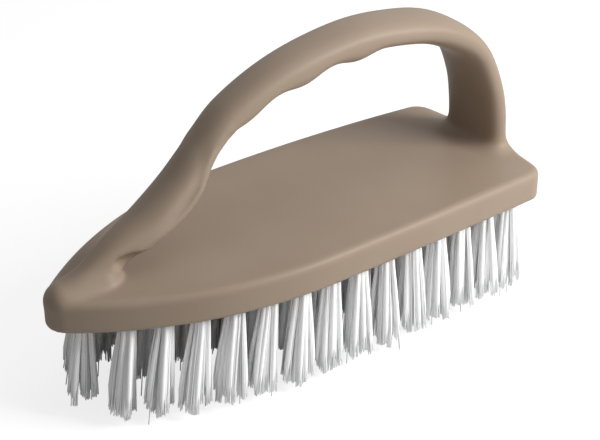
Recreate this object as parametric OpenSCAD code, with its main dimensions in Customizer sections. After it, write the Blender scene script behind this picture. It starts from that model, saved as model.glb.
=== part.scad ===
// Hand scrub brush: a flat-iron shaped block with a loop handle moulded in one piece with it.
// Tufts of plastic filament stand in blind holes in the underside, each folded over a metal anchor.
// The nose points along -X, the near side of the block is -Y, and the filament tips rest on Z = 0.

/* [Block] */
// Length of the block from nose to heel
block_len = 150; // [140:1:165]
// Greatest width of the block
block_w = 59.6; // [54:0.2:64]
// Thickness of the block at its edge
block_t = 8.7; // [8:0.1:12]
// How much lower the two ends of the gently bowed block are than its middle
bow_h = 1.5; // [0:0.1:2]
// Distance from the nose to the widest place
widest_at = 82; // [76:1:90]
// Radius of the nose, seen from above
nose_r = 6.6; // [5.5:0.1:8]
// Radius of the curved front half of each side
front_side_r = 105; // [98:1:116]
// Radius of the nearly straight rear half of each side
rear_side_r = 840; // [500:20:1600]
// Radius of the two rear corners, seen from above
corner_r = 6; // [3:0.5:8]
// Radius of the bowed heel, seen from above
heel_r = 130; // [90:1:200]
// Radius of the rounded upper edge
edge_r = 2.4; // [1:0.1:3.5]
// Height and depth of the small lower chamfer
chamfer = 0.6; // [0.3:0.1:1]

/* [Handle] */
// Height of the handle's top above the underside of the block
handle_top = 56.8; // [53:0.2:62]
// Width of the front leg
leg_w = 12.4; // [10:0.2:14]
// Width of the grip at its highest point
grip_w = 14.2; // [12:0.2:18]
// Width of the rear leg
rear_leg_w = 22; // [18:0.5:26]
// Thickness of the front leg where it swells above the block
leg_t = 11; // [9:0.2:12]
// Thickness of the grip between its finger ridges
grip_t = 7.4; // [6:0.2:9]
// Thickness of the rear leg
rear_leg_t = 6.8; // [5:0.2:8]
// Radius of the flare where the rear leg runs into the block
flare_r = 8; // [3:0.5:10]
// How square the grip's section is, from 2 for an ellipse
squareness = 2.4; // [2:0.1:3]
// How square the front leg's section is, so that its face is broad and nearly flat
leg_squareness = 2.7; // [2.2:0.1:3.4]
// Thickness of the thin wing that backs the front leg and shows as a lip beside it
wing_t = 1.7; // [1.2:0.1:2.4]
// Greatest width of the wing
wing_w = 13.4; // [12.6:0.1:15]
// Radius of the fillet round the front leg's foot
foot_r = 2.6; // [1.5:0.1:3.6]
// Radius of the wide fillet behind the foot, under the arch of the leg
arch_r = 9; // [5:0.5:12]
// Length, height and depth of the hollow in each side of the foot
dent_len = 16; // [12:0.5:20]
dent_h = 10.8; // [8:0.1:12]
dent_depth = 3.8; // [2:0.1:4.5]
// Height of the finger ridges under the grip
ridge_h = 2; // [0.5:0.1:2.6]
// Distance between the finger ridges
ridge_pitch = 18.5; // [16:0.5:20]
// Distance from the nose to the first finger ridge
first_ridge_at = 58; // [56:0.5:61]

/* [Tufts] */
// Length of filament that shows below the block
bristle_len = 30; // [22:0.5:34]
// Distance from the edge of the block to the tufts of the outer row
row_inset = 4.8; // [4.4:0.1:5.4]
// Distance between tufts along the outer row
outer_pitch = 9.44; // [9.2:0.02:9.6]
// Distance along the outer row from its foremost point to the first side tuft
first_side_tuft = 16.4; // [15.5:0.1:17.5]
// Distance from the nose to the single tuft at the front
nose_tuft_at = 10.5; // [9:0.1:11.5]
// Distance between tufts along the three inner rows
inner_pitch = 12.3; // [11.8:0.1:12.6]
// Distance from the middle row to the rows beside it
inner_gap = 11.4; // [10.8:0.1:12]
// Diameter of each blind hole
hole_d = 4.6; // [4:0.1:5]
// Depth of each blind hole
hole_depth = 6.2; // [5:0.1:6.6]
// Gap between the folded end of a tuft and the wall of its hole
tuft_gap = 0.05; // [0.02:0.01:0.1]
// Radius over which the strands of one tuft spread at their tips
tip_spread = 3.3; // [2.6:0.1:3.6]
// How far the outer rows lean outwards at their tips
outer_lean = 0.9; // [0:0.1:1]

/* [Anchors] */
// Thickness of the metal strip that each tuft is folded over
anchor_t = 0.4; // [0.3:0.05:0.6]
// Height of the metal strip
anchor_h = 1.8; // [1.2:0.1:2.4]
// How far each end of the strip bites into the wall of the hole
anchor_bite = 0.3; // [0.15:0.05:0.5]

/* [Hidden] */
side_tufts = 14;
middle_row = 10;
beside_row = 8;
under_z = bristle_len;
half_w = block_w / 2;

// Steps along each arc of half the outline: nose, front side, rear side, corner, heel
arc_steps = [4, 14, 9, 4, 5];
// Steps round the upper edge, along and round the handle, and along and round its wing
edge_steps = 4;
path_steps = 5;
round_steps = 20;
wing_steps = 3;
wing_round_steps = 12;
wing_squareness = 3;
// Steps up and round the fillet at the front leg's foot
foot_steps = 4;
foot_round_steps = 32;
dent_facets = 20;
hole_facets = 32;
// Shares of the way from the edge to the middle line at which the flat top has points
top_shares = [0.45, 0.9];

body_colour = [0.60, 0.53, 0.47];
filament_colour = [0.90, 0.90, 0.89];
anchor_colour = [0.75, 0.75, 0.72];

function flip_y(p) = [p.x, -p.y];
function angle_of(v) = atan2(v.y, v.x);
function mix(a, b, t) = a + (b - a) * t;
function clamp(v, low, high) = min(max(v, low), high);
function ring_faces(n, rings) = [
    for (k = [0:rings - 2], i = [0:n - 1], half = [0, 1])
        let (a = k * n + i, b = k * n + (i + 1) % n)
            half == 0 ? [a, b, b + n] : [a, b + n, a + n]
];

// Where two circles cross; side is 1 or -1 and picks one of the two places
function circles_meet(c1, r1, c2, r2, side) =
    let (d = norm(c2 - c1), e = (c2 - c1) / d,
         a = (r1 * r1 - r2 * r2 + d * d) / (2 * d),
         h = sqrt(max(r1 * r1 - a * a, 0)))
    c1 + a * e + side * h * [-e.y, e.x];

// Half of the block's outline is five arcs in a chain, each tangent to the next
nose_c = [nose_r, 0];
rear_side_c = [widest_at, half_w - rear_side_r];
front_side_c = circles_meet(nose_c, front_side_r - nose_r, rear_side_c, rear_side_r - front_side_r, 1);
heel_c = [block_len - heel_r, 0];
corner_c = circles_meet(rear_side_c, rear_side_r - corner_r, heel_c, heel_r - corner_r, -1);
a_nose = angle_of(nose_c - front_side_c);
a_side = angle_of(front_side_c - rear_side_c);
a_corner = angle_of(corner_c - rear_side_c);
a_heel = angle_of(corner_c - heel_c);
// Centre, radius, first angle and last angle of each arc
outline_arcs = [
    [nose_c, nose_r, 180, a_nose],
    [front_side_c, front_side_r, a_nose, a_side],
    [rear_side_c, rear_side_r, a_side, a_corner],
    [corner_c, corner_r, a_corner, a_heel],
    [heel_c, heel_r, a_heel, 0]
];

function on_arc(arc, t, inset) =
    let (a = mix(arc[2], arc[3], t)) arc[0] + (arc[1] - inset) * [cos(a), sin(a)];
function half_outline(inset, steps) = concat(
    [for (k = [0:4], i = [0:steps[k] - 1]) on_arc(outline_arcs[k], i / steps[k], inset)],
    [on_arc(outline_arcs[4], 1, inset)]);
function whole_outline(inset) =
    let (half = half_outline(inset, arc_steps), n = len(half))
    concat(half, [for (i = [n - 2:-1:1]) flip_y(half[i])]);

// One ring of the block: every point of the outline, inset, at one height
function ring_at(inset, z) = [for (p = whole_outline(inset)) [p.x, p.y, z]];
// A ring on the top or the underside, part of the way from the inset edge to the middle line
function flat_ring(share, inset, z) =
    let (front = 2 * nose_r, back = block_len - 2 * nose_r)
    [for (p = whole_outline(inset))
        [mix(p.x, clamp(p.x, front, back), share), p.y * (1 - share), z]];

// The block's height at any place along it, over the level where its bow crosses the underside
bow_share = 0.29;
function bow_at(x) = bow_h * (bow_share - pow(2 * x / block_len - 1, 2));
function bowed(ring) = [for (p = ring) [p.x, p.y, p.z + bow_at(p.x)]];

// Triangles that close a ring whose two halves mirror each other
function lid_faces(first, n) =
    let (heel = n / 2)
    concat([[first, first + 1, first + n - 1]],
        [for (i = [1:heel - 2], half = [0, 1])
            let (a = first + i, b = first + n - i)
                half == 0 ? [a, a + 1, b - 1] : [a, b - 1, b]],
        [[first + heel - 1, first + heel, first + heel + 1]]);

module block() {
    edge = [for (i = [1:edge_steps]) let (a = 90 * i / edge_steps)
        ring_at(edge_r * (1 - cos(a)), block_t - edge_r * (1 - sin(a)))];
    rings = concat([for (k = [len(top_shares) - 1:-1:0]) flat_ring(top_shares[k], chamfer, 0)],
        [ring_at(chamfer, 0), ring_at(0, chamfer), ring_at(0, block_t - edge_r)], edge,
        [for (share = top_shares) flat_ring(share, edge_r, block_t)]);
    n = len(rings[0]);
    polyhedron([for (r = rings) each bowed(r)],
        concat([for (f = lid_faces(0, n)) [f[0], f[2], f[1]]], ring_faces(n, len(rings)),
            lid_faces((len(rings) - 1) * n, n)));
}

// Places that the handle's middle line passes, from inside the nose to inside the heel. Each row:
// distance from the nose, height above the underside, width, outer and inner thickness, squareness
crown_z = handle_top - grip_t / 2;
rear_x = block_len - rear_leg_t / 2;
handle_rows = [
    [4, 3.8, leg_w * 0.7, 2.4, 2.4, squareness],
    [12, 8.5, leg_w * 0.94, leg_t * 0.3, leg_t * 0.4, squareness],
    [20, 13.2, leg_w, leg_t * 0.34, leg_t * 0.44, leg_squareness],
    [30, 19.4, leg_w, leg_t * 0.36, leg_t * 0.36, leg_squareness],
    [39, 26.6, leg_w * 0.97, leg_t * 0.35, leg_t * 0.37, leg_squareness],
    [47, 35.4, leg_w * 0.94, leg_t * 0.3, leg_t * 0.2, leg_squareness],
    [57, 43.8, leg_w * 0.96, grip_t * 0.45, grip_t * 0.44, squareness],
    [75, crown_z - 3, mix(leg_w, grip_w, 0.3), grip_t / 2, grip_t * 0.46, squareness],
    [97, crown_z, grip_w, grip_t / 2, grip_t / 2, squareness],
    [116, crown_z - 2, mix(grip_w, rear_leg_w, 0.25), grip_t / 2, grip_t / 2, squareness],
    [rear_x - 18, crown_z - 6, mix(grip_w, rear_leg_w, 0.5), grip_t / 2, grip_t * 0.58, squareness],
    [rear_x - 8.6, crown_z - 13, mix(grip_w, rear_leg_w, 0.76), rear_leg_t / 2, grip_t * 0.56, squareness],
    [rear_x - 3.2, crown_z - 24, mix(grip_w, rear_leg_w, 0.9), rear_leg_t / 2, rear_leg_t * 0.46, squareness],
    [rear_x - 0.9, block_t + 10, rear_leg_w, rear_leg_t / 2, rear_leg_t * 0.46, squareness],
    [rear_x - 0.4, block_t - 2, rear_leg_w, rear_leg_t / 2 - 0.2, rear_leg_t * 0.46, squareness]
];

// Places that the wing passes, from inside the foot to inside the grip: the same values as above
function wing_row(x, z, share) = [x, z, wing_w * share, wing_t / 2, wing_t / 2, wing_squareness];
wing_rows = [
    wing_row(20, 12.6, 0.66),
    wing_row(27, 16.2, 0.8),
    wing_row(32, 18.6, 0.9),
    wing_row(36.6, 21.2, 0.95),
    wing_row(40.4, 24.4, 0.98),
    wing_row(43.6, 28.4, 0.98),
    wing_row(45.8, 33, 0.93),
    wing_row(47.6, 38, 0.84),
    wing_row(51, 42, 0.62)
];

// Smooth curve through four neighbouring rows, and its direction
function smooth_row(p, q, r, s, t) =
    0.5 * (2 * q + (r - p) * t + (2 * p - 5 * q + 4 * r - s) * t * t
        + (3 * q - p - 3 * r + s) * t * t * t);
function row_at(rows, u) =
    let (last = len(rows) - 1, k = min(floor(u), last - 1), t = u - k)
    smooth_row(rows[max(k - 1, 0)], rows[k], rows[k + 1], rows[min(k + 2, last)], t);

// Finger ridges swell the underside of the grip, and the flare widens the foot of the rear leg
function ridge_at(x) =
    let (n = round(clamp((x - first_ridge_at) / ridge_pitch, 0, 2)),
         off = (x - first_ridge_at - n * ridge_pitch) / ridge_pitch)
    abs(off) < 0.5 ? ridge_h * pow(cos(180 * off), 2) : 0;
function flare_at(x, z) =
    let (d = clamp((block_t + bow_at(x) + flare_r - z) / flare_r, 0, 0.92))
    x < block_len / 2 ? 0 : flare_r * (1 - sqrt(1 - d * d));
function rounded(v, square) = sign(v) * pow(abs(v), 2 / square);

// One section: a rounded oblong across the path, thicker inside than outside
function section_at(rows, u, sides) =
    let (m = row_at(rows, u), step = 0.02,
         d = row_at(rows, min(u + step, len(rows) - 1)) - row_at(rows, max(u - step, 0)),
         ahead = [d.x, d.y] / norm([d.x, d.y]), out = [-ahead.y, ahead.x],
         flare = flare_at(m.x, m.y), wide = m[2] / 2 + flare,
         inner = m[4] + flare + ridge_at(m.x))
    [for (i = [0:sides - 1])
        let (a = 360 * i / sides, s = rounded(sin(a), m[5]),
             reach = s > 0 ? s * m[3] : s * inner)
        [m.x + out.x * reach, wide * rounded(cos(a), m[5]), m.y + out.y * reach]];

// A solid through sections of the same number of points, closed by a flat face at each end
module loft(sections) {
    n = len(sections[0]);
    last = (len(sections) - 1) * n;
    polyhedron([for (s = sections) each s],
        concat([[for (i = [0:n - 1]) i]],
            [for (f = ring_faces(n, len(sections))) [f[0], f[2], f[1]]],
            [[for (i = [n - 1:-1:0]) last + i]]));
}
module sweep(rows, steps, sides) {
    loft([for (i = [0:(len(rows) - 1) * steps]) section_at(rows, i / steps, sides)]);
}

// Fillet where the front leg stands on the block: ovals that spread by a quarter circle, more behind
foot_front = [10, 1.3];
foot_back = [24, 1.25];
foot_sink = 0.4;
module foot_fillet() {
    rings = [for (i = [foot_steps:-1:0])
        let (a = 90 * i / foot_steps, rise = foot_r * (1 - cos(a)), spread = 1 - sin(a),
             x0 = foot_front[0] + foot_front[1] * rise - foot_r * spread,
             x1 = foot_back[0] + foot_back[1] * rise + arch_r * spread,
             wide = leg_w * 0.46 + foot_r * spread)
        [for (k = [0:foot_round_steps - 1])
            let (b = 360 * k / foot_round_steps, x = mix(x0, x1, (1 - cos(b)) / 2))
            [x, wide * sin(b), block_t + bow_at(x) + rise - (i == 0 ? foot_sink : 0)]]];
    intersection() {
        loft(rings);
        linear_extrude(height = 2 * block_t) polygon(whole_outline(edge_r));
    }
}

// The hollow in each side of the front leg's foot
dent_at = [23.5, 11];
module dents() {
    for (side = [-1, 1])
        translate([dent_at[0], side * (leg_w / 2 + 1), dent_at[1]])
            scale([dent_len / 2, dent_depth + 1, dent_h / 2]) sphere(r = 1, $fn = dent_facets);
}

module handle() {
    difference() {
        union() {
            sweep(handle_rows, path_steps, round_steps);
            sweep(wing_rows, wing_steps, wing_round_steps);
            foot_fillet();
        }
        dents();
    }
}

// Places of the tufts: [distance from the nose, distance from the middle line, lean along X and Y]
row_line = half_outline(row_inset, [6, 40, 40, 6, 20]);
function reach_of(pts, i) = i == 0 ? 0 : reach_of(pts, i - 1) + norm(pts[i] - pts[i - 1]);
row_reach = [for (i = [0:len(row_line) - 1]) reach_of(row_line, i)];
function along_row(s) =
    let (k = max([for (i = [0:len(row_line) - 2]) if (row_reach[i] <= s) i]))
    mix(row_line[k], row_line[k + 1], (s - row_reach[k]) / (row_reach[k + 1] - row_reach[k]));
function side_tuft(i) =
    let (s = first_side_tuft + outer_pitch * i, p = along_row(s),
         d = along_row(s + 0.5) - along_row(s - 0.5), out = [-d.y, d.x] / norm(d))
    [p.x, p.y, out.x * outer_lean, out.y * outer_lean];
function mirrored(t) = [t[0], -t[1], t[2], -t[3]];
inner_last = block_len - row_inset - 4.2;
near_tufts = [for (i = [0:side_tufts - 1]) mirrored(side_tuft(i))];
far_tufts = [for (i = [0:side_tufts - 1]) side_tuft(i)];
nose_tufts = [[nose_tuft_at, 0, -2 * outer_lean, 0]];
function inner_row(count, y) =
    [for (i = [count - 1:-1:0]) [inner_last - i * inner_pitch, y, i == 0 ? outer_lean : 0, 0]];
middle_tufts = inner_row(middle_row, 0);
near_inner_tufts = inner_row(beside_row, -inner_gap);
far_inner_tufts = inner_row(beside_row, inner_gap);
all_tufts = concat(nose_tufts, near_tufts, far_tufts, middle_tufts, near_inner_tufts, far_inner_tufts);

function named(prefix, count) = [for (i = [1:count]) str(prefix, i)];
tuft_names = concat(["tuft_nose"], named("tuft_near_", side_tufts), named("tuft_far_", side_tufts),
    named("tuft_middle_", middle_row), named("tuft_inner_near_", beside_row),
    named("tuft_inner_far_", beside_row));

// Moves a shape from distances off the nose and the underside to the part's own frame
module in_place() {
    translate([-block_len / 2, 0, under_z]) children();
}

// The metal strip at the blind end of one hole, grown by grow on every side but its top
module anchor_strip(grow = 0) {
    long = hole_d + 2 * anchor_bite;
    translate([-anchor_t / 2 - grow, -long / 2 - grow, hole_depth - anchor_h - grow])
        cube([anchor_t + 2 * grow, long + 2 * grow, anchor_h + grow]);
}

module at_tuft(t) {
    translate([t[0], t[1], bow_at(t[0])]) children();
}

module brush_body() {
    color(body_colour) in_place() difference() {
        union() {
            block();
            handle();
        }
        for (t = all_tufts) at_tuft(t) {
            translate([0, 0, -1]) cylinder(d = hole_d, h = hole_depth + 1, $fn = hole_facets);
            anchor_strip();
        }
    }
}

module tuft_anchors() {
    color(anchor_colour) in_place() for (t = all_tufts) at_tuft(t) anchor_strip();
}

// Strands of one tuft: one in the middle and a ring of them, which lean apart towards their tips
ring_strands = 7;
strand_r = 0.62;
tip_r = 0.5;
root_r = 1.45;
bury = 0.8;
strand_sides = 3;
middle_level = 0.45;
function strand_share(depth, long) = max(depth, 0) / long;
// The spread grows a little faster near the root, so each strand bows outwards
function strand_point(root, tip, t) = mix(root, tip, t * (1.25 - 0.25 * t));

module strand(root, tip, turn, long) {
    rings = [for (d = [-bury, middle_level * long, long])
        let (t = strand_share(d, long), p = strand_point(root, tip, t), r = mix(strand_r, tip_r, t))
            [for (i = [0:strand_sides - 1]) let (a = turn + 360 * i / strand_sides)
                [p.x + r * cos(a), p.y + r * sin(a), -d]]];
    n = strand_sides;
    polyhedron([for (r = rings) each r],
        concat([[for (i = [n - 1:-1:0]) i]],
            [for (f = ring_faces(n, len(rings))) f],
            [[for (i = [0:n - 1]) (len(rings) - 1) * n + i]]));
}

module tuft(t) {
    lean = [t[2], t[3]];
    turn = 37 * t[0];
    long = bristle_len + bow_at(t[0]);
    color(filament_colour) in_place() at_tuft(t) {
        difference() {
            cylinder(d = hole_d - 2 * tuft_gap, h = hole_depth, $fn = hole_facets);
            anchor_strip();
        }
        strand([0, 0], lean, turn, long);
        for (i = [0:ring_strands - 1])
            let (a = turn + 360 * i / ring_strands, way = [cos(a), sin(a)])
                strand(root_r * way, lean + (tip_spread - tip_r) * way, a + 180, long);
    }
}

brush_body();
tuft_anchors();
for (i = [0:len(all_tufts) - 1])
    tuft(all_tufts[i]);
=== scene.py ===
"""A hand scrub brush: moulded block with a loop handle, tufts of white filament, on a pale floor."""

import logging
import math
from dataclasses import astuple, dataclass, field
from enum import Enum
from functools import reduce
from typing import Any, Callable, Sequence

import bpy
import numpy as np
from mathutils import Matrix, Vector


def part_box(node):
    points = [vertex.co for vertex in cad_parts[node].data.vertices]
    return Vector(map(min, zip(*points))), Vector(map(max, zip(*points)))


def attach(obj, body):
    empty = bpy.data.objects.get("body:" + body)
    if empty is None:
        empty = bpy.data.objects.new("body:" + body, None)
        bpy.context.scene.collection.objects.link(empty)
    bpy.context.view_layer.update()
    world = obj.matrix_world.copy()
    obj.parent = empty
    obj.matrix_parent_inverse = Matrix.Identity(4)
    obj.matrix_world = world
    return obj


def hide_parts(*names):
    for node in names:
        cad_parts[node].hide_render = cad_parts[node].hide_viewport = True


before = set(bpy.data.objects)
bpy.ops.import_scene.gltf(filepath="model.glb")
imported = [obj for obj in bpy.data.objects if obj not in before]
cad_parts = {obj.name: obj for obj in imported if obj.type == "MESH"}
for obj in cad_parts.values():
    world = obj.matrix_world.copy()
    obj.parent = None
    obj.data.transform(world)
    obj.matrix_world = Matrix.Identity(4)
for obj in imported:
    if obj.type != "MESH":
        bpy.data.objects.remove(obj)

LOG = logging.getLogger("scrub_brush")
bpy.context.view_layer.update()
MM = 0.001
BODY = "root"
TINY = 1e-6
ROOT_BAND = 1.0
TIP_BAND = 0.1
GOLDEN_ANGLE = 137.508
Array = np.ndarray
Material = bpy.types.Material
Object = bpy.types.Object
Pair = tuple[float, float]
Triple = tuple[float, float, float]
Colour = tuple[float, float, float, float]


class Slot(Enum):
    """The record's material slots for the new pieces, which mesh_piece is handed but does not use."""

    PLASTIC = "body_plastic"
    FILAMENT = "filament"


class Part(Enum):
    """The frame's nodes that are one of a kind."""

    BODY = "brush_body"
    ANCHORS = "tuft_anchors"


class Wire:
    """One output socket of a node tree, on which sums and products add their own Math nodes."""

    def __init__(self, tree: bpy.types.NodeTree, socket: bpy.types.NodeSocket) -> None:
        """Keeps the tree and the socket."""
        self.tree = tree
        self.socket = socket

    def math(self, operation: str, *others: Any) -> "Wire":
        """Adds a Math node whose first input is this socket.

        Args:
            operation: the Math node's operation.
            others: its other inputs, as wires or numbers.

        Returns:
            The node's result.
        """
        node = self.tree.nodes.new("ShaderNodeMath")
        node.operation = operation
        for i, value in enumerate((self, *others)):
            plug(self.tree, node.inputs[i], value)
        return Wire(self.tree, node.outputs[0])

    def __add__(self, other: Any) -> "Wire":
        """The sum of two values."""
        return self.math("ADD", other)

    __radd__ = __add__

    def __sub__(self, other: Any) -> "Wire":
        """The difference of two values."""
        return self.math("SUBTRACT", other)

    def __rsub__(self, other: float) -> "Wire":
        """A number less this value."""
        return (self * -1.0) + other

    def __mul__(self, other: Any) -> "Wire":
        """The product of two values."""
        return self.math("MULTIPLY", other)

    __rmul__ = __mul__


def plug(tree: bpy.types.NodeTree, socket: bpy.types.NodeSocket, value: Any) -> None:
    """Links a wire to an input socket, or sets the socket to a plain value.

    Args:
        tree: the node tree.
        socket: the input.
        value: a Wire, a number, or a sequence of numbers.
    """
    if isinstance(value, Wire):
        tree.links.new(value.socket, socket)
    else:
        socket.default_value = value


class Finish:
    """A material in the making, with one method for every kind of node."""

    def __init__(self, name: str) -> None:
        """Starts an empty material with its output node.

        Args:
            name: the material's name.
        """
        self.material = bpy.data.materials.new(name)
        self.material.use_nodes = True
        self.tree = self.material.node_tree
        self.tree.nodes.clear()
        self.output = self.tree.nodes.new("ShaderNodeOutputMaterial")

    def node(self, kind: str, settings: dict[str, Any] | None = None,
             values: dict[Any, Any] | None = None, out: Any = 0) -> Wire:
        """Adds any node.

        Args:
            kind: the node's type.
            settings: what is set on the node itself, before its sockets; "stops" fills a colour ramp.
            values: numbers, colours or wires for its inputs, by name or index.
            out: the name or index of the output that is wanted.

        Returns:
            That output.
        """
        node = self.tree.nodes.new(kind)
        for key, value in (settings or {}).items():
            if key == "stops":
                self.fill_ramp(node.color_ramp, value)
            else:
                setattr(node, key, value)
        for key, value in (values or {}).items():
            plug(self.tree, node.inputs[key], value)
        return Wire(self.tree, node.outputs[out])

    @staticmethod
    def fill_ramp(ramp: bpy.types.ColorRamp, stops: Sequence[Pair]) -> None:
        """Puts grey stops into a colour ramp.

        Args:
            ramp: the ramp.
            stops: pairs of place and level.
        """
        while len(ramp.elements) < len(stops):
            ramp.elements.new(0.5)
        for element, (place, level) in zip(ramp.elements, stops):
            element.position = place
            element.color = (level, level, level, 1.0)

    def place(self) -> Wire:
        """Object coordinates, which the mesh carries with it."""
        return self.node("ShaderNodeTexCoord", out="Object")

    def noise(self, scale: float, detail: float = 2.0, roughness: float = 0.5) -> Wire:
        """Soft noise over object coordinates; scale is in waves a metre."""
        return self.node("ShaderNodeTexNoise", values={
            "Vector": self.place(), "Scale": scale, "Detail": detail, "Roughness": roughness})

    def ramp(self, value: Wire, stops: Sequence[Pair]) -> Wire:
        """Levels of a value by a ramp of grey stops."""
        return self.node("ShaderNodeValToRGB", {"stops": stops}, {"Fac": value})

    def mix(self, share: Any, first: Any, second: Any) -> Wire:
        """Mixes two colours by a share from 0 to 1."""
        return self.node("ShaderNodeMix", {"data_type": "RGBA"}, {0: share, 6: first, 7: second}, out=2)

    def bump(self, height: Wire, distance: float, strength: float) -> Wire:
        """A normal tilted by a height; distance is in metres."""
        return self.node("ShaderNodeBump", values={
            "Height": height, "Distance": distance, "Strength": strength}, out="Normal")

    def close(self, shader: Wire) -> Material:
        """Joins the last shader to the output and gives the material."""
        self.tree.links.new(shader.socket, self.output.inputs["Surface"])
        return self.material


def srgb(red: int, green: int, blue: int) -> Colour:
    """A colour written as it shows on a screen, 0 to 255, as linear light by the sRGB curve."""
    shares = (level / 255 for level in (red, green, blue))
    return (*(v / 12.92 if v <= 0.04045 else ((v + 0.055) / 1.055) ** 2.4 for v in shares), 1.0)


@dataclass(frozen=True)
class MouldedPlastic:
    """Satin taupe plastic with a fine spark-eroded grain and faint flow marks.

    A finish's bump is its depth in metres and its strength.
    """

    colour: Colour = srgb(157, 140, 123)
    deep: Colour = srgb(151, 133, 116)
    grain_scale: float = 5200.0
    flow_scale: float = 26.0
    cloud_scale: float = 156.0
    flow_stops: tuple[Pair, Pair] = ((0.35, 0.0), (0.7, 1.0))
    roughness: float = 0.40
    flow_roughness: float = 0.05
    cloud_roughness: float = 0.06
    grain_share: float = 0.6
    cloud_share: float = 0.4
    bump: Pair = (0.00005, 0.5)
    refraction: float = 1.49
    reflection: float = 0.22

    def make(self) -> Material:
        """Builds the material.

        Returns:
            The plastic.
        """
        f = Finish("moulded_plastic")
        flow = f.ramp(f.noise(self.flow_scale, detail=3.0, roughness=0.55), self.flow_stops)
        grain = f.noise(self.grain_scale, detail=2.0, roughness=0.6)
        cloud = f.noise(self.cloud_scale, detail=4.0, roughness=0.6)
        height = grain * self.grain_share + cloud * self.cloud_share
        return f.close(f.node("ShaderNodeBsdfPrincipled", values={
            "Base Color": f.mix(flow, self.deep, self.colour),
            "Roughness": self.roughness + flow * self.flow_roughness + cloud * self.cloud_roughness,
            "Normal": f.bump(height, *self.bump),
            "IOR": self.refraction, "Specular IOR Level": self.reflection}))


@dataclass(frozen=True)
class Nylon:
    """Extruded white filament: each strand has its own shade, and all are duller at the cut tips."""

    light: Colour = srgb(254, 254, 254)
    dull: Colour = srgb(244, 245, 246)
    streak_scale: float = 900.0
    cut_stops: tuple[Pair, Pair] = ((0.9, 0.0), (1.0, 0.6))
    shade_share: float = 0.7
    cut_share: float = 0.3
    roughness: float = 0.34
    streak_roughness: float = 0.12
    bump: Pair = (0.00004, 0.3)
    refraction: float = 1.53

    def make(self) -> Material:
        """Builds the material, which reads each strand's own shade and place along it.

        Returns:
            The nylon.
        """
        f = Finish("filament_nylon")
        shade = f.node("ShaderNodeAttribute", {"attribute_name": "shade"}, out="Fac")
        along = f.node("ShaderNodeAttribute", {"attribute_name": "along"}, out="Fac")
        streak = f.noise(self.streak_scale)
        cut = f.ramp(along, self.cut_stops)
        share = (1.0 - shade) * self.shade_share + cut * self.cut_share
        return f.close(f.node("ShaderNodeBsdfPrincipled", values={
            "Base Color": f.mix(share, self.light, self.dull),
            "Roughness": self.roughness + streak * self.streak_roughness,
            "Normal": f.bump(streak, *self.bump),
            "IOR": self.refraction}))


@dataclass(frozen=True)
class StripMetal:
    """Cut metal strip with fine marks along it."""

    colour: Colour = srgb(190, 190, 184)
    dark: Colour = srgb(150, 150, 146)
    marks_scale: float = 3000.0
    roughness: float = 0.3
    marks_roughness: float = 0.2
    bump: Pair = (0.00003, 0.4)

    def make(self) -> Material:
        """Builds the material.

        Returns:
            The metal.
        """
        f = Finish("anchor_strip_metal")
        marks = f.noise(self.marks_scale, detail=3.0, roughness=0.6)
        return f.close(f.node("ShaderNodeBsdfPrincipled", values={
            "Base Color": f.mix(marks, self.colour, self.dark), "Metallic": 1.0,
            "Roughness": self.roughness + marks * self.marks_roughness,
            "Normal": f.bump(marks, *self.bump)}))


def mesh_piece(name: str, points: Array, faces: Array, slot: Slot,
               material: Material, replaces: Sequence[str]) -> Object:
    """Makes a smooth piece that rides on the body and stands for CAD nodes.

    Args:
        name: the piece's name.
        points: one row per vertex, in millimetres in the part's frame.
        faces: one row of vertex numbers per face, all of one length.
        slot: the record's slot; not used.
        material: the finish.
        replaces: the nodes that it stands for.

    Returns:
        The new object.
    """
    mesh = bpy.data.meshes.new(name)
    count, sides = faces.shape
    mesh.vertices.add(len(points))
    mesh.vertices.foreach_set("co", (points * MM).astype(np.float32).ravel())
    mesh.loops.add(count * sides)
    mesh.loops.foreach_set("vertex_index", faces.astype(np.int32).ravel())
    mesh.polygons.add(count)
    mesh.polygons.foreach_set("loop_start", np.arange(0, count * sides, sides, dtype=np.int32))
    mesh.polygons.foreach_set("use_smooth", np.ones(count, bool))
    mesh.update(calc_edges=True)
    mesh.validate()
    mesh.materials.append(material)
    obj = bpy.data.objects.new(name, mesh)
    bpy.context.scene.collection.objects.link(obj)
    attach(obj, BODY)
    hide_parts(*replaces)
    LOG.info("%s: %d vertices, %d faces", name, len(points), count)
    return obj


def smooth_step(value: Array, low: float, high: float) -> Array:
    """0 below low, 1 above high, and 3t^2 - 2t^3 between them."""
    t = np.clip((value - low) / (high - low), 0.0, 1.0)
    return t * t * (3.0 - 2.0 * t)


def soft_min(a: Array, b: Array, radius: Any) -> Array:
    """The smaller of two distances, with a fillet: min(a, b) - (r - |a - b|)^2 / 4r within r."""
    near = np.maximum(radius - np.abs(a - b), 0.0)
    return np.minimum(a, b) - near * near / (4.0 * radius)


def soft_max(a: Array, b: Array, radius: Any) -> Array:
    """The greater of two distances, with a rounded edge."""
    return -soft_min(-a, -b, radius)


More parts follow.
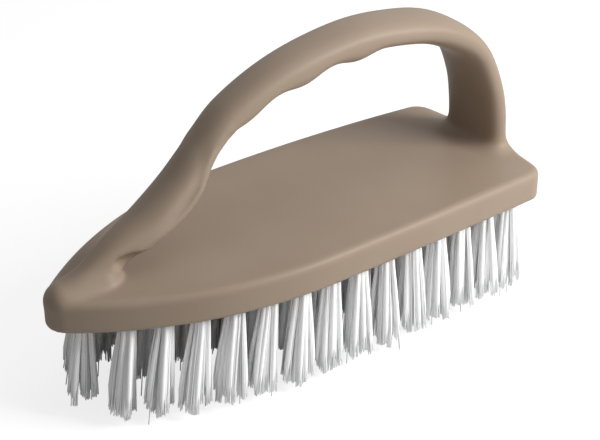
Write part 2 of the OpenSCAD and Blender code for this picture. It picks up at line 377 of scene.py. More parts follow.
@dataclass
class Outline:
    """The block seen from above: half of it is five arcs, each tangent to the next.

    Distances are in millimetres, x from the nose and y from the middle line.
    """

    length: float
    width: float
    nose_r: float = 6.6
    front_r: float = 105.0
    rear_r: float = 840.0
    corner_r: float = 6.0
    heel_r: float = 130.0
    widest_share: float = 82.0 / 150.0
    arcs: list[tuple[complex, float, float, float]] = field(init=False)

    def __post_init__(self) -> None:
        """Finds each arc's centre, radius, and the angles of its two ends."""
        nose = complex(self.nose_r, 0.0)
        rear = complex(self.length * self.widest_share, self.width / 2 - self.rear_r)
        front = self.meet(nose, self.front_r - self.nose_r, rear, self.rear_r - self.front_r, 1)
        heel = complex(self.length - self.heel_r, 0.0)
        corner = self.meet(rear, self.rear_r - self.corner_r, heel, self.heel_r - self.corner_r, -1)
        turns = [math.pi, *(math.atan2((a - b).imag, (a - b).real) for a, b in
                            ((nose, front), (front, rear), (corner, rear), (corner, heel))), 0.0]
        radii = (self.nose_r, self.front_r, self.rear_r, self.corner_r, self.heel_r)
        centres = (nose, front, rear, corner, heel)
        self.arcs = [(c, r, turns[i + 1], turns[i]) for i, (c, r) in enumerate(zip(centres, radii))]

    @staticmethod
    def meet(c1: complex, r1: float, c2: complex, r2: float, side: int) -> complex:
        """Where two circles cross.

        Args:
            c1, r1: the first circle's centre and radius.
            c2, r2: the second's.
            side: 1 or -1, for one of the two places.

        Returns:
            The place.
        """
        gap = abs(c2 - c1)
        way = (c2 - c1) / gap
        along = (r1 * r1 - r2 * r2 + gap * gap) / (2 * gap)
        return c1 + way * complex(along, side * math.sqrt(max(r1 * r1 - along * along, 0.0)))

    def distance(self, x: Array, y: Array) -> Array:
        """Signed distance to the outline, less than zero inside.

        For each arc the nearest point is c + r (cos a, sin a), with the angle a held between the
        arc's ends, and the nearest of the five arcs counts.

        Args:
            x: distance from the nose.
            y: distance from the middle plane.

        Returns:
            The distance.
        """
        point = x + 1j * np.abs(y)
        best = np.full(point.shape, np.inf)
        signed = np.zeros(point.shape)
        for centre, radius, low, high in self.arcs:
            off = point - centre
            angle = np.clip(np.angle(off), low, high)
            reach = np.abs(off - radius * np.exp(1j * angle))
            inside = np.abs(off) < radius
            nearer = reach < best
            best = np.where(nearer, reach, best)
            signed = np.where(nearer, np.where(inside, -reach, reach), signed)
        return signed


@dataclass(frozen=True)
class Bow:
    """The block's gentle bow: its two ends lie lower than its middle."""

    length: float
    rise: float = 1.5
    share: float = 0.29

    def at(self, x: Array) -> Array:
        """How high the block lies at x: rise (share - (2 x / length - 1)^2)."""
        return self.rise * (self.share - (2 * x / self.length - 1) ** 2)

    @property
    def lowest(self) -> float:
        """How high the block's two ends lie."""
        return self.rise * (self.share - 1.0)


@dataclass(frozen=True)
class Station:
    """One place on a sweep's middle line, and the section there, in millimetres."""

    x: float
    height: float
    width: float
    outer: float
    inner: float
    squareness: float = 2.4


@dataclass
class Sweep:
    """A rounded oblong carried along a smooth line in the XZ plane."""

    stations: Sequence[Station]
    swell: Callable[[Array], Array] | None = None
    steps: int = 16
    pitch: float = 0.25
    margin: float = 4.0
    line: Array = field(init=False)
    plane: Array = field(init=False)
    corner: Array = field(init=False)

    def __post_init__(self) -> None:
        """Carries a Catmull-Rom curve through the stations, and adds the swell to its inner side."""
        rows = np.array([astuple(s) for s in self.stations])
        rows = np.vstack([rows[:1], rows, rows[-1:]])
        t = np.linspace(0.0, 1.0, self.steps, endpoint=False)[None, :, None]
        p, q, r, s = (rows[i:len(rows) - 3 + i, None, :] for i in range(4))
        curve = 0.5 * (2 * q + (r - p) * t + (2 * p - 5 * q + 4 * r - s) * t ** 2
                       + (3 * q - p - 3 * r + s) * t ** 3)
        self.line = np.vstack([curve.reshape(-1, rows.shape[1]), rows[-1:]])
        if self.swell:
            inner = 4
            self.line[:, inner] += self.swell(self.line[:, 0])

    def survey(self, length: float, top: float) -> None:
        """Works out the offset from the middle line, and the section there, on a fine grid.

        Args:
            length: how far the grid reaches along X.
            top: how far it reaches up.
        """
        self.corner = np.array([-self.margin, -self.margin])
        xs = np.arange(-self.margin, length + self.margin, self.pitch)
        hs = np.arange(-self.margin, top + self.margin, self.pitch)
        points = np.stack(np.meshgrid(xs, hs, indexing="ij"), axis=-1).reshape(-1, 2)
        row, share, off = self.nearest(points, self.line[:-1, :2], np.diff(self.line[:, :2], axis=0))
        section = self.line[row] + (self.line[row + 1] - self.line[row]) * share[:, None]
        sheet = np.column_stack([off, section[:, 2:]])
        self.plane = sheet.reshape(len(xs), len(hs), -1)

    def read(self, x: Array, h: Array) -> Array:
        """The surveyed values at any place, straight between the grid's points.

        Args:
            x: distance from the nose.
            h: height above the underside.

        Returns:
            Offset, width, outer and inner thickness, and squareness, along the last axis.
        """
        x, h = np.broadcast_arrays(x, h)
        place = [(v - c) / self.pitch for v, c in zip((x, h), self.corner)]
        cell = [np.clip(v.astype(int), 0, n - 2) for v, n in zip(place, self.plane.shape)]
        u, v = ((a - b)[..., None] for a, b in zip(place, cell))
        i, j = cell
        low = self.plane[i, j] * (1 - u) + self.plane[i + 1, j] * u
        high = self.plane[i, j + 1] * (1 - u) + self.plane[i + 1, j + 1] * u
        return low * (1 - v) + high * v

    def distance(self, x: Array, y: Array, h: Array) -> Array:
        """Distance to the sweep's skin, less than zero inside, good near the skin.

        The nearest place on the middle line gives the offset n across it in the XZ plane and the
        section's half width w and thickness t. With q = (|y/w|^s + |n/t|^s)^(1/s), the distance
        is (q - 1) / |grad q|.

        Args:
            x: distance from the nose.
            y: distance from the middle plane.
            h: height above the underside.

        Returns:
            The distance.
        """
        off, width, outer, inner, s = np.moveaxis(self.read(x, h), -1, 0)
        half_w = width / 2
        half_t = np.where(off > 0, outer, inner)
        a = np.abs(y) / half_w
        b = np.abs(off) / half_t
        q = np.maximum((a ** s + b ** s) ** (1 / s), TINY)
        slope = np.hypot((a / q) ** (s - 1) / half_w, (b / q) ** (s - 1) / half_t)
        return (q - 1.0) / slope

    @staticmethod
    def nearest(points: Array, ends: Array, spans: Array,
                block: int = 20000) -> tuple[Array, Array, Array]:
        """Finds the nearest stretch of the middle line to each point.

        Args:
            points: x and h of each point.
            ends: where each stretch starts.
            spans: from each stretch's start to its end.
            block: how many points are worked on at a time.

        Returns:
            The stretch's number, the share of the way along it, and the offset to its left.
        """
        rows, shares, offs = [], [], []
        sizes = (spans ** 2).sum(axis=1)
        for start in range(0, len(points), block):
            gap = points[start:start + block, None, :] - ends[None, :, :]
            t = np.clip((gap * spans).sum(axis=2) / sizes, 0.0, 1.0)
            away = gap - t[:, :, None] * spans
            far = (away ** 2).sum(axis=2)
            best = far.argmin(axis=1)
            pick = np.arange(len(best))
            left = spans[best, 0] * gap[pick, best, 1] - spans[best, 1] * gap[pick, best, 0]
            rows.append(best)
            shares.append(t[pick, best])
            offs.append(np.sign(left) * np.sqrt(far[pick, best]))
        return np.concatenate(rows), np.concatenate(shares), np.concatenate(offs)


@dataclass
class LoopHandle:
    """The handle: one sweep from nose to heel, and a thin wing behind the front leg.

    The wing is wider than the leg's rounded ridge, so a soft groove runs between the ridge and
    the wing's lip, which fades into the block at the foot and into the grip above. Finger ridges
    swell the grip's inner side, a dent hollows each side of the foot, and a pad fills the toe.
    """

    top: float
    length: float
    leg_w: float = 12.4
    grip_w: float = 14.2
    rear_leg_w: float = 21.2
    leg_t: float = 11.0
    grip_t: float = 7.4
    rear_leg_t: float = 6.8
    leg_squareness: float = 1.85
    ridge_h: float = 2.0
    ridge_pitch: float = 18.5
    first_ridge_at: float = 59.0
    ridges: int = 3
    wing_t: float = 1.8
    wing_w: float = 14.2
    wing_squareness: float = 3.0
    groove_r: float = 2.1
    dent_from: Triple = (17.2, 4.3, 13.6)
    dent_middle: Triple = (27.5, 8.6, 10.6)
    dent_r: float = 4.6
    dent_lip: float = 1.0
    pad_ends: tuple[Triple, Triple] = ((5.2, 5.4, 4.9), (15.6, 7.4, 5.7))
    pad_blend: float = 1.4
    ridge_line: Sweep = field(init=False)
    wing_line: Sweep = field(init=False)

    def __post_init__(self) -> None:
        """Makes the two sweeps."""
        self.ridge_line = Sweep(self.stations(), self.ridge)
        self.wing_line = Sweep(self.wing_stations())
        for sweep in (self.ridge_line, self.wing_line):
            sweep.survey(self.length, self.top)

    def stations(self) -> list[Station]:
        """The places that the handle's middle line passes.

        Returns:
            One station for each, from inside the nose to inside the heel.
        """
        crown = self.top - self.grip_t / 2
        rear = self.length - self.rear_leg_t / 2
        leg, grip, back = self.leg_w, self.grip_w, self.rear_leg_w
        thick, thin, low = self.leg_t, self.grip_t, self.rear_leg_t
        square = self.leg_squareness

        def wide(share: float) -> float:
            """A width between the grip's and the rear leg's."""
            return grip + (back - grip) * share

        return [
            Station(4.0, 4.8, leg * 0.5, 2.4, 2.4),
            Station(12.0, 9.8, leg * 0.52, thick * 0.28, thick * 0.4),
            Station(20.0, 14.8, leg * 0.72, thick * 0.28, thick * 0.4),
            Station(30.0, 20.4, leg * 0.96, thick * 0.28, thick * 0.44, square),
            Station(39.0, 27.3, leg * 0.93, thick * 0.27, thick * 0.42, square),
            Station(46.8, 34.9, leg * 0.86, thick * 0.28, thick * 0.22, square),
            Station(57.0, 43.3, leg * 0.92, thin * 0.44, thin * 0.32),
            Station(75.0, crown - 3, leg + (grip - leg) * 0.3, thin / 2, thin * 0.46),
            Station(97.0, crown, grip, thin / 2, thin / 2),
            Station(116.0, crown - 2, wide(0.25), thin / 2, thin / 2),
            Station(rear - 18, crown - 6, wide(0.5), thin / 2, thin * 0.58),
            Station(rear - 8.6, crown - 13, wide(0.76), low / 2, thin * 0.56),
            Station(rear - 3.2, crown - 24, wide(0.9), low / 2, low * 0.62),
            Station(rear - 0.9, 18.6, back, low / 2, low * 0.65),
            Station(rear - 0.4, 6.6, back, low / 2 - 0.2, low * 0.6),
        ]

    def wing_stations(self) -> list[Station]:
        """The places that the wing passes.

        Returns:
            One station for each, from inside the foot to inside the grip.
        """
        half = self.wing_t / 2
        places = ((20.0, 12.6, 0.66), (27.0, 16.2, 0.8), (32.0, 18.6, 0.9),
                  (36.6, 21.2, 0.95), (40.5, 24.2, 0.94), (43.9, 28.0, 0.9),
                  (46.3, 32.2, 0.79), (48.7, 36.2, 0.7), (53.5, 39.6, 0.5))
        return [Station(x, h, self.wing_w * share, half, half, self.wing_squareness)
                for x, h, share in places]

    def ridge(self, x: Array) -> Array:
        """Finger ridges under the grip: h cos^2(pi d), d pitches from the nearest ridge's middle.

        Args:
            x: distance from the nose.

        Returns:
            What the ridges add to the grip's inner side.
        """
        place = (x - self.first_ridge_at) / self.ridge_pitch
        off = place - np.clip(np.round(place), 0, self.ridges - 1)
        return np.where(np.abs(off) < 0.5, self.ridge_h * np.cos(np.pi * off) ** 2, 0.0)

    def dent(self, x: Array, y: Array, h: Array) -> Array:
        """Distance to the spindle hollowed out of each side of the front leg's foot.

        With a place's part along the spindle a, the rest across it c, half its length l and its
        radius r, q = |(a / l, c / r)| and the distance is (q - 1) / |grad q|.

        Args:
            x, y, h: the place, as for a Sweep.

        Returns:
            The distance.
        """
        middle, start = np.array(self.dent_middle), np.array(self.dent_from)
        half = float(np.linalg.norm(start - middle))
        u = (start - middle) / half
        px, py, ph = x - middle[0], np.abs(y) - middle[1], h - middle[2]
        a = px * u[0] + py * u[1] + ph * u[2]
        c2 = np.maximum(px * px + py * py + ph * ph - a * a, 0.0)
        q = np.maximum(np.sqrt((a / half) ** 2 + c2 / self.dent_r ** 2), TINY)
        slope = np.sqrt(a * a / half ** 4 + c2 / self.dent_r ** 4) / q
        return (q - 1.0) / np.maximum(slope, TINY)

    def pad(self, x: Array, y: Array, h: Array) -> Array:
        """Distance to the round-ended pad in the toe, a rod whose radius grows along it.

        Args:
            x, y, h: the place, as for a Sweep.

        Returns:
            The distance.
        """
        (x0, h0, r0), (x1, h1, r1) = self.pad_ends
        t = ((x - x0) * (x1 - x0) + (h - h0) * (h1 - h0)) / ((x1 - x0) ** 2 + (h1 - h0) ** 2)
        t = np.clip(t, 0.0, 1.0)
        away = np.sqrt((x - x0 - (x1 - x0) * t) ** 2 + y * y + (h - h0 - (h1 - h0) * t) ** 2)
        return away - (r0 + (r1 - r0) * t)

    def distance(self, x: Array, y: Array, h: Array) -> Array:
        """Distance to the handle: its ridge and wing, the foot's two dents, and the toe's pad.

        Args:
            x, y, h: the place, as for a Sweep.

        Returns:
            The distance.
        """
        ridge = self.ridge_line.distance(x, y, h)
        whole = soft_min(ridge, self.wing_line.distance(x, y, h), self.groove_r)
        whole = soft_max(whole, -self.dent(x, y, h), self.dent_lip)
        return soft_min(whole, self.pad(x, y, h), self.pad_blend)


@dataclass
class MouldedBody:
    """The block and its handle as one moulding, worked out as a surface where a distance is zero."""

    pitch: float = 0.7
    edge_r: float = 2.4
    lower_r: float = 0.8
    block_t: float = 8.7
    nose_blend: float = 2.6
    nose_end: Pair = (12.0, 19.0)
    toe_blend: float = 1.2
    toe_end: Pair = (23.0, 36.0)
    leg_blend: float = 6.0
    seam_blend: float = 1.2
    rounds: int = 2
    evening: float = 0.5
    least_slope: float = 0.5
    rim: int = 2
    hole_r: float = 2.3
    hole_depth: float = 3.0
    hole_lip: float = 0.35
    origin: Array = field(init=False)
    outline: Outline = field(init=False)
    bow: Bow = field(init=False)
    handle: LoopHandle = field(init=False)
    holes: Array = field(init=False)

    def __post_init__(self) -> None:
        """Takes the block's box from the frame, and the holes from the tufts that stand in them."""
        low, high = body_box()
        self.bow = Bow(high[0] - low[0])
        self.origin = np.array([low[0], 0.0, low[2] - self.bow.lowest])
        self.outline = Outline(high[0] - low[0], high[1] - low[1])
        self.handle = LoopHandle(high[2] - self.origin[2], high[0] - low[0])
        self.holes = np.array([t.root[:2] for t in tufts_in_frame()]) - self.origin[:2]

    def blend_radius(self, x: Array) -> Array:
        """The fillet between handle and block: soft at the nose, tight at the dents, then wide."""
        toe = self.nose_blend + (self.toe_blend - self.nose_blend) * smooth_step(x, *self.nose_end)
        return toe + (self.leg_blend - toe) * smooth_step(x, *self.toe_end)

    def distance(self, x: Array, y: Array, h: Array) -> Array:
        """Distance to the moulding's skin, less than zero inside.

        The bowed top and the handle join with a soft minimum, the outline cuts that with a rounded
        edge, the plain handle is added again, and the underside and the holes are cut.

        Args:
            x, y, h: the place, as for a Sweep.

        Returns:
            The distance.
        """
        side = self.outline.distance(x, y)
        grip = self.handle.distance(x, y, h)
        level = h - self.bow.at(x)
        top = soft_min(level - self.block_t, grip, self.blend_radius(x))
        whole = soft_max(top, side, self.edge_r)
        whole = soft_min(whole, grip, self.seam_blend)
        whole = soft_max(whole, -level, self.lower_r)
        return soft_max(whole, -self.bores(x, y, level), self.hole_lip)

    def bores(self, x: Array, y: Array, h: Array) -> Array:
        """Distance to the nearest blind hole, less than zero inside it."""
        nearest = reduce(np.minimum, (np.hypot(x - hole_x, y - hole_y) for hole_x, hole_y in self.holes))
        return np.maximum(nearest - self.hole_r, h - self.hole_depth)

    def grid(self) -> tuple[Array, Array, Array]:
        """The places at which the distance is worked out, a rim of steps past the box each way.

        Returns:
            The places along X, along Y and up.
        """
        edge = self.rim * self.pitch
        under = self.bow.lowest - edge
        half = self.outline.width / 2
        return (np.arange(-edge, self.outline.length + edge, self.pitch),
                np.arange(-half - edge, half + edge, self.pitch),
                np.arange(under, self.handle.top + edge, self.pitch))

    def settle(self, points: Array, step: float = 0.02) -> Array:
        """Moves points onto the skin by one Newton step, p - f grad f / |grad f|^2.

        The slope counts as no less than least_slope, and no point moves more than a pitch.

        Args:
            points: rows of x, y, h near the skin.
            step: half the span of the central differences.

        Returns:
            The moved points.
        """
        axes = np.eye(3) * step
        value = self.distance(*points.T)
        rise = [self.distance(*(points + a).T) - self.distance(*(points - a).T) for a in axes]
        slope = np.stack(rise, axis=1) / (2 * step)
        size = np.maximum((slope ** 2).sum(axis=1), self.least_slope ** 2)
        move = np.clip(value / size, -self.pitch, self.pitch)
        return points - slope * move[:, None]

    def surface(self) -> tuple[Array, Array]:
        """The skin, evened out and settled on the true surface.

        Returns:
            Points in the part's frame, and quads.
        """
        xs, ys, hs = self.grid()
        field_values = self.distance(xs[:, None, None], ys[None, :, None], hs[None, None, :])
        points, quads = net_of_zero(field_values)
        points = points * self.pitch + np.array([xs[0], ys[0], hs[0]])
        for _ in range(self.rounds):
            points = self.settle(even_out(points, quads, self.evening))
        return self.settle(points) + self.origin, quads

    def build(self, material: Material) -> None:
        """Makes the piece that stands for the CAD body."""
        mesh_piece("moulded_block_and_handle", *self.surface(), Slot.PLASTIC, material,
                   [Part.BODY.value])


def net_of_zero(values: Array) -> tuple[Array, Array]:
    """The surface where a field on a grid is zero, one point for each cell that it crosses.

    A cell's point is the mean of the places where the cell's edges cross zero, t = a / (a - b).
    Each grid edge that crosses zero gives a quad of the four cells round it.

    Args:
        values: the field, less than zero inside.

    Returns:
        Points in grid steps, and quads that face outwards.
    """
    cells = tuple(n - 1 for n in values.shape)
    total = np.zeros(cells + (3,))
    count = np.zeros(cells)
    crossings = []
    for axis in range(3):
        a, b = (np.moveaxis(values, axis, 0)[cut] for cut in (slice(-1), slice(1, None)))
        crossed = (a < 0) != (b < 0)
        ratio = np.where(crossed, a / np.where(crossed, a - b, 1.0), 0.0)
        cross, leaving, share = (np.moveaxis(m, 0, axis) for m in (crossed, crossed & (a < 0), ratio))
        crossings.append((cross, leaving))
        u, v = (k for k in range(3) if k != axis)
        for first, second in np.ndindex(2, 2):
            window = [slice(None)] * 3
            window[u] = slice(first, first + cells[u])
            window[v] = slice(second, second + cells[v])
            hit = cross[tuple(window)]
            count += hit
            total[..., axis] += np.where(hit, share[tuple(window)], 0.0)
            total[..., u] += hit * first
            total[..., v] += hit * second
    active = count > 0
    number = np.full(cells, -1)
    number[active] = np.arange(active.sum())
    points = np.argwhere(active) + total[active] / count[active][:, None]
    return points, np.vstack([quads_across(number, cross, leaving, axis)
                              for axis, (cross, leaving) in enumerate(crossings)])


def quads_across(number: Array, cross: Array, leaving: Array, axis: int) -> Array:
    """Quads round the grid edges of one direction.

    Args:
        number: each cell's point number.
        cross: the edges that cross zero.
        leaving: those of them that go from inside to outside.
        axis: the edges' direction.

    Returns:
        One row of four point numbers for each crossing edge.
    """
    u, v = (axis + 1) % 3, (axis + 2) % 3
    at = np.argwhere(cross)
    for way in (u, v):
        at = at[(at[:, way] > 0) & (at[:, way] < cross.shape[way] - 1)]
    corners = []
    for back_u, back_v in ((1, 1), (0, 1), (0, 0), (1, 0)):
        cell = at.copy()
        cell[:, u] -= back_u
        cell[:, v] -= back_v
        corners.append(number[tuple(cell.T)])
    quads = np.stack(corners, axis=1)
    outward = leaving[tuple(at.T)]
    return np.where(outward[:, None], quads, quads[:, ::-1])


def even_out(points: Array, quads: Array, share: float) -> Array:
    """Moves points towards the mean of their neighbours along the quads' sides.

    Args:
        points: one row per point.
        quads: the faces.
        share: how much of the way they move.

    Returns:
        The moved points.
    """
    total = np.zeros_like(points)
    count = np.zeros(len(points))
    for k in range(4):
        ends = quads[:, k], quads[:, (k + 1) % 4]
        for a, b in (ends, ends[::-1]):
            for axis in range(3):
                total[:, axis] += np.bincount(a, points[b, axis], len(points))
            count += np.bincount(a, minlength=len(points))
    return points + (total / count[:, None] - points) * share


@dataclass(frozen=True)
class TuftPlace:
    """Where one tuft stands, from its CAD node, in millimetres."""

    node: str
    root: Array
    lean: Array
    length: float
    from_nose: float

    @property
    def label(self) -> str:
        """The tuft's name without the word tuft."""
        return self.node.removeprefix("tuft_")

    @property
    def at_nose(self) -> bool:
        """True for the single tuft at the nose, which is shorter."""
        return self.label == "nose"


def body_box() -> tuple[Array, Array]:
    """The two corners of the CAD body's box, in millimetres."""
    low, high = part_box(Part.BODY.value)
    return np.array(low) / MM, np.array(high) / MM


def tufts_in_frame() -> list[TuftPlace]:
    """Reads the place and lean of every tuft from the frame's nodes.

    A tuft's root plug is what stands more than ROOT_BAND over the underside, and its tips are what
    lies within TIP_BAND of its lowest point.

    Returns:
        The tufts, in the order of their names.
    """
    low, high = body_box()
    bow = Bow(high[0] - low[0])
    level = low[2] - bow.lowest
    found = []
    for name in sorted(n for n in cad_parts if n.startswith("tuft_") and n != Part.ANCHORS.value):
        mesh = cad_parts[name].data
        co = np.zeros(len(mesh.vertices) * 3)
        mesh.vertices.foreach_get("co", co)
        co = co.reshape(-1, 3) / MM
        z = co[:, 2]
        plug, tips = ((part.min(axis=0) + part.max(axis=0)) / 2 for part in
                      (co[z > level + ROOT_BAND, :2], co[z < z.min() + TIP_BAND, :2]))
        root = np.array([*plug, level + bow.at(plug[0] - low[0])])
        found.append(TuftPlace(name, root, tips - plug, root[2] - z.min(), root[0] - low[0]))
    return found


@dataclass
class FilamentTuft:
    """One tuft: straight filaments that cling in clumps, and part towards their cut tips.

    Each clump has a thick core among its strands, which closes it to the light behind.
    """

    place: TuftPlace
    seed: int
    strands: int = 124
    clumps: int = 13
    sides: int = 6
    levels: int = 7
    radius: float = 0.16
    core_r: float = 0.62
    core_at: tuple[float, ...] = (0.0, 0.6, 0.84, 1.0)
    core_swell: tuple[float, ...] = (1.0, 1.35, 1.3, 0.4)
    core_back: float = 1.3
    cap: float = 0.6
    root_reach: float = 2.05
    tip_reach: float = 4.3
    reach_spread: float = 0.04
    bend: float = 0.25
    cling: float = 0.3
    parting: float = 0.55
    tip_spread: float = 0.12
    ragged: float = 1.7
    most_ragged: float = 3.4
    uneven: float = 0.5
    trim: float = 1.1
    crown: float = 1.0
    nose_trim: float = 1.6
    nose_swept: float = 0.8
    stray_share: float = 0.02
    stray_reach: float = 1.3
    swept: float = 3.6
    swept_until: Pair = (45.0, 100.0)
    side_room: float = 30.2
    buried: float = 2.4
    clump_shade: float = 0.6
    strand_shade: float = 0.4
    rng: np.random.Generator = field(init=False)
    middle: Array = field(init=False)
    spot: Array = field(init=False)
    clump: Array = field(init=False)
    core: Array = field(init=False)
    stray: Array = field(init=False)

    def __post_init__(self) -> None:
        """Places the strands and the cores in the unit disc, and picks the few that stray."""
        self.rng = np.random.default_rng(self.seed)
        self.middle = self.disc(self.clumps)
        self.spot = np.concatenate([self.disc(self.strands), self.middle])
        away = np.linalg.norm(self.spot[:, None] - self.middle[None], axis=2)
        self.clump = np.argmin(away, axis=1)
        self.core = np.arange(len(self.spot)) >= self.strands
        self.stray = (self.rng.random(len(self.spot)) < self.stray_share) & ~self.core

    def disc(self, count: int) -> Array:
        """Places in a unit disc by a sunflower pattern: r = sqrt((i + 1/2) / n), 137.5 degrees apart.

        Args:
            count: how many places.

        Returns:
            One row of x and y for each.
        """
        i = np.arange(count)
        r, turn = np.sqrt((i + 0.5) / count), i * math.radians(GOLDEN_ANGLE) + self.seed
        return np.stack([r * np.cos(turn), r * np.sin(turn)], axis=1)

    def tips(self) -> Array:
        """Where the strands end, seen from above.

        A tip is drawn to its clump's middle, parts with its clump from the others, and follows the
        tuft's lean and the sweep towards the nose. None goes past the room at the brush's sides.

        Returns:
            One row of x and y for each strand, from the tuft's root.
        """
        n, normal = len(self.spot), self.rng.normal
        out = np.where(self.stray, self.stray_reach, normal(1.0, self.reach_spread, n))
        drawn = self.spot + (self.middle[self.clump] - self.spot) * self.cling
        tip = drawn * (self.tip_reach * out)[:, None]
        parted = normal(0.0, self.parting, (self.clumps, 2))[self.clump]
        tip += parted + normal(0.0, self.tip_spread, (n, 2))
        tip += self.place.lean
        swept = self.swept * (1.0 - smooth_step(self.place.from_nose, *self.swept_until))
        tip[:, 0] -= self.nose_swept if self.place.at_nose else swept
        side = self.place.root[1]
        tip[:, 1] = np.clip(side + tip[:, 1], -self.side_room, self.side_room) - side
        return tip

    def shortfall(self) -> Array:
        """How much each strand lacks of the tuft's full length.

        A clump is cut as one, its strands a little unevenly, and outer strands end higher. Strays
        keep nearly the full length, and cores end inside their clump.

        Returns:
            One length for each strand.
        """
        uneven = np.abs(self.rng.normal(0.0, self.uneven, len(self.spot)))
        ragged = np.abs(self.rng.normal(0.0, self.ragged, self.clumps))
        short = np.minimum(ragged, self.most_ragged)[self.clump]
        short += uneven + self.trim + self.crown * np.sum(self.spot * self.spot, axis=1)
        short = np.where(self.stray, uneven, short) + np.where(self.core, self.core_back, 0.0)
        return short + self.nose_trim * self.place.at_nose

    def build(self, material: Material) -> None:
        """Makes the tuft and its two attributes: each strand's shade, and the way along it.

        A strand's x and y are root + (tip - root)((1 + b) t - b t^2), with b its bend, while its
        height falls evenly with t.

        Args:
            material: the filaments' finish.
        """
        root, tip = self.spot * self.root_reach, self.tips()
        length = self.place.length - self.shortfall()
        t = np.linspace(0.0, 1.0, self.levels)
        swell = np.interp(t, self.core_at, self.core_swell)
        radius = np.where(self.core[:, None], self.core_r * swell[None, :], self.radius)
        way = (1.0 + self.bend) * t - self.bend * t * t
        flat = root[:, None, :] + (tip - root)[:, None, :] * way[None, :, None]
        drop = -length[:, None] * t[None, :]
        drop[:, 0] = self.buried
        points, faces = self.tubes(flat + self.place.root[:2], drop + self.place.root[2], radius)
        obj = mesh_piece(f"filaments_{self.place.label}", points, faces, Slot.FILAMENT, material,
                         [self.place.node])
        shade = self.rng.random(self.clumps)[self.clump] * self.clump_shade
        own = self.rng.random(len(self.spot))
        shade += np.where(self.core, 1.0, own) * self.strand_shade
        along = np.concatenate([np.repeat(t, self.sides), [0.0, 1.0]])
        self.paint(obj, "shade", np.repeat(shade, len(along)))
        self.paint(obj, "along", np.tile(along, len(self.spot)))

    def tubes(self, flat: Array, height: Array, radius: Array) -> tuple[Array, Array]:
        """Closed tubes round the strands' middle lines, with a low cone on each tip.

        Args:
            flat: x and y of each strand at each level.
            height: z of each strand at each level.
            radius: the strand's radius there.

        Returns:
            Points and triangles.
        """
        (n, levels), sides = radius.shape, self.sides
        turn = np.arange(sides) * 2 * math.pi / sides
        ring = np.stack([np.cos(turn), np.sin(turn)], axis=1)
        xy = flat[:, :, None, :] + ring[None, None, :, :] * radius[:, :, None, None]
        z = np.broadcast_to(height[:, :, None, None], (n, levels, sides, 1))
        rings = np.concatenate([xy, z], axis=3).reshape(n, levels * sides, 3)
        poles = np.stack([np.concatenate([flat[:, k], height[:, k, None]], axis=1) for k in (0, -1)],
                         axis=1)
        poles[:, 1, 2] -= radius[:, -1] * self.cap
        points = np.concatenate([rings, poles], axis=1)
        k, i = np.meshgrid(np.arange(levels - 1), np.arange(sides), indexing="ij")
        a = (k * sides + i).ravel()
        b = (k * sides + (i + 1) % sides).ravel()
        j, last = np.arange(sides), (levels - 1) * sides
        top, tip = (np.full(sides, levels * sides + pole) for pole in (0, 1))
        one = np.concatenate([np.stack(corners, axis=1) for corners in (
            (a, a + sides, b), (b, a + sides, b + sides),
            (top, j, (j + 1) % sides), (tip, last + (j + 1) % sides, last + j))])
        faces = one[None, :, :] + (np.arange(n) * points.shape[1])[:, None, None]
        return points.reshape(-1, 3), faces.reshape(-1, 3)

    @staticmethod
    def paint(obj: Object, name: str, values: Array) -> None:
        """Stores one number for every vertex."""
        layer = obj.data.attributes.new(name, "FLOAT", "POINT")
        layer.data.foreach_set("value", values.astype(np.float32))


@dataclass(frozen=True)
class Viewpoint:
    """The photograph's camera: 600 pixels wide, level, with its middle on the picture's middle.

    Lengths are in millimetres, but the clip distances in metres.
    """

    azimuth: float = -37.457
    elevation: float = 30.492
    distance: float = 463.04
    focal_pixels: float = 1669.6
    target: Triple = (5.142, 0.0, 32.33)
    picture_width: float = 600.0
    sensor: float = 36.0
    clip: Pair = (0.01, 50.0)

    def build(self) -> None:
        """Makes the scene's camera."""
        turn, lift = math.radians(self.azimuth), math.radians(self.elevation)
        back = Vector((math.sin(turn) * math.cos(lift), -math.cos(turn) * math.cos(lift), math.sin(lift)))
        data = bpy.data.cameras.new("camera")
        data.sensor_width = self.sensor
        data.lens = self.sensor * self.focal_pixels / self.picture_width
        data.clip_start, data.clip_end = self.clip
        camera = bpy.data.objects.new("camera", data)
        camera.location = (Vector(self.target) + back * self.distance) * MM
        camera.rotation_mode = "QUATERNION"
        camera.rotation_quaternion = (-back).to_track_quat("-Z", "Y")
        bpy.context.scene.collection.objects.link(camera)
        bpy.context.scene.camera = camera


@dataclass(frozen=True)
class SoftBox:
    """A square area lamp that looks at one point; places are in metres."""

    name: str
    place: Triple
    size: float
    power: float
    target: Triple = (0.0, 0.0, 0.04)

    def build(self) -> None:
        """Makes the lamp."""
        data = bpy.data.lights.new(self.name, "AREA")
        data.size = self.size
        data.energy = self.power
        lamp = bpy.data.objects.new(self.name, data)
        lamp.location = self.place
        way = Vector(self.target) - Vector(self.place)
        lamp.rotation_mode = "QUATERNION"
        lamp.rotation_quaternion = way.to_track_quat("-Z", "Y")
        bpy.context.scene.collection.objects.link(lamp)


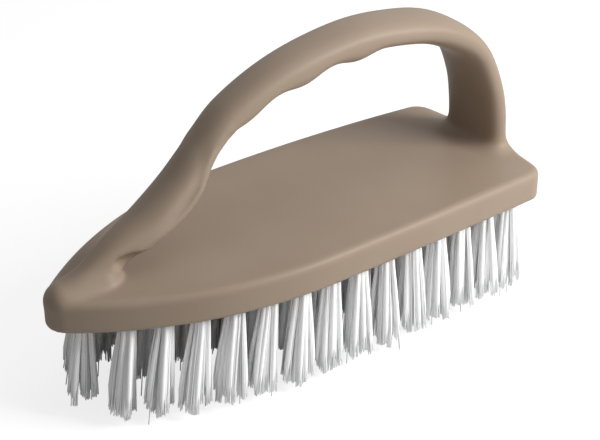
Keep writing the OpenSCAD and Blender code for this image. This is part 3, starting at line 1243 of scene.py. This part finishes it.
@dataclass(frozen=True)
class Studio:
    """A pale floor, a white surround and two soft lamps; lengths are in metres."""

    surround: float = 0.165
    bounce_level: float = 0.8
    shown_level: float = 0.35
    floor_lift: float = 0.8
    floor_half: float = 4.0
    grain_scale: float = 60.0
    grain_level: float = 0.99
    lamps: tuple[SoftBox, ...] = (
        SoftBox("key_lamp", (0.27, -0.34, 0.31), 0.25, 2.8),
        SoftBox("top_lamp", (0.28, -0.12, 0.85), 0.6, 1.6),
    )

    def build(self) -> None:
        """Makes the floor, the world and the lamps, and sets the view transform."""
        bpy.context.scene.view_settings.view_transform = "Standard"
        self.floor()
        self.world()
        for lamp in self.lamps:
            lamp.build()

    def floor(self) -> None:
        """A wide flat floor that shows white and keeps the object's shadow."""
        h = self.floor_half
        mesh = bpy.data.meshes.new("floor")
        mesh.from_pydata([(-h, -h, 0), (h, -h, 0), (h, h, 0), (-h, h, 0)], [], [(0, 1, 2, 3)])
        f = Finish("floor_paper")
        grain = f.noise(self.grain_scale, detail=3.0)
        bounce, shown = (f.node("ShaderNodeBsdfDiffuse", values={"Color": self.paper(f, grain, level)})
                         for level in (self.bounce_level, self.shown_level))
        glow = f.node("ShaderNodeEmission", values={"Strength": self.floor_lift})
        lifted = f.node("ShaderNodeAddShader", values={0: shown, 1: glow})
        seen = f.node("ShaderNodeLightPath", out="Is Camera Ray")
        paper = f.node("ShaderNodeMixShader", values={0: seen, 1: bounce, 2: lifted})
        mesh.materials.append(f.close(paper))
        floor = bpy.data.objects.new("floor", mesh)
        bpy.context.scene.collection.objects.link(floor)

    def paper(self, f: Finish, grain: Wire, level: float) -> Wire:
        """A grey level with a trace of grain."""
        dark = level * self.grain_level
        return f.mix(grain, (level, level, level, 1.0), (dark, dark, dark, 1.0))

    def world(self) -> None:
        """A white surround for the camera and for reflections, and an even fill for the rest."""
        world = bpy.data.worlds.new("surround")
        world.use_nodes = True
        tree = world.node_tree
        path = tree.nodes.new("ShaderNodeLightPath")
        seen = Wire(tree, path.outputs["Is Camera Ray"])
        for way in ("Is Glossy Ray", "Is Transmission Ray"):
            seen = seen.math("MAXIMUM", Wire(tree, path.outputs[way]))
        strength = seen * (1.0 - self.surround) + self.surround
        plug(tree, tree.nodes["Background"].inputs["Color"], (1.0, 1.0, 1.0, 1.0))
        plug(tree, tree.nodes["Background"].inputs["Strength"], strength)
        bpy.context.scene.world = world


def dress_anchors() -> None:
    """Gives the metal strips, which stay as the CAD node, their finish."""
    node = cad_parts[Part.ANCHORS.value]
    node.data.materials.clear()
    node.data.materials.append(StripMetal().make())
    LOG.info("%s: dressed", Part.ANCHORS.value)


def main() -> None:
    """Builds the camera, the studio and the brush in order."""
    logging.basicConfig(level=logging.INFO, format="%(name)s %(message)s")
    Viewpoint().build()
    Studio().build()
    MouldedBody().build(MouldedPlastic().make())
    nylon = Nylon().make()
    for seed, place in enumerate(tufts_in_frame(), start=1):
        FilamentTuft(place, seed).build(nylon)
    dress_anchors()


if __name__ == "__main__":
    main()
